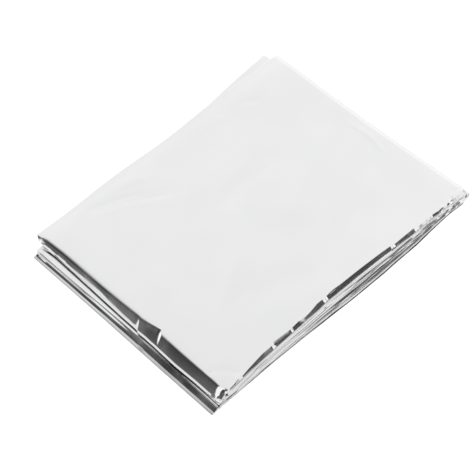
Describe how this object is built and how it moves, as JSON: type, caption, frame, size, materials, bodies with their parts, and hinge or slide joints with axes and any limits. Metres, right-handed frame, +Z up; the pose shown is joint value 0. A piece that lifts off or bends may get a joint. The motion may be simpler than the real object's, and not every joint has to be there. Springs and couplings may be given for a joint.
{
  "type": "emergency foil blanket",
  "caption": "Rescue blanket of thin silvery film, folded flat into a rectangular pack with layered, slightly fanned edges.",
  "frame": {"origin": "centre of the folded pack's outline, on the surface it lies on", "axes": "+X along the pack's long side, away from the edge where the free ends of the strip and the fanned lower layers show; +Y along its short side, away from the rolled front edge; +Z up through the layers"},
  "size_m": [0.275, 0.2134, 0.0192],
  "materials": {
    "foil_film": "bright, lightly creased metallised film"
  },
  "bodies": {
    "root": {"blanket": "foil_film"}
  },
  "joints": []
}
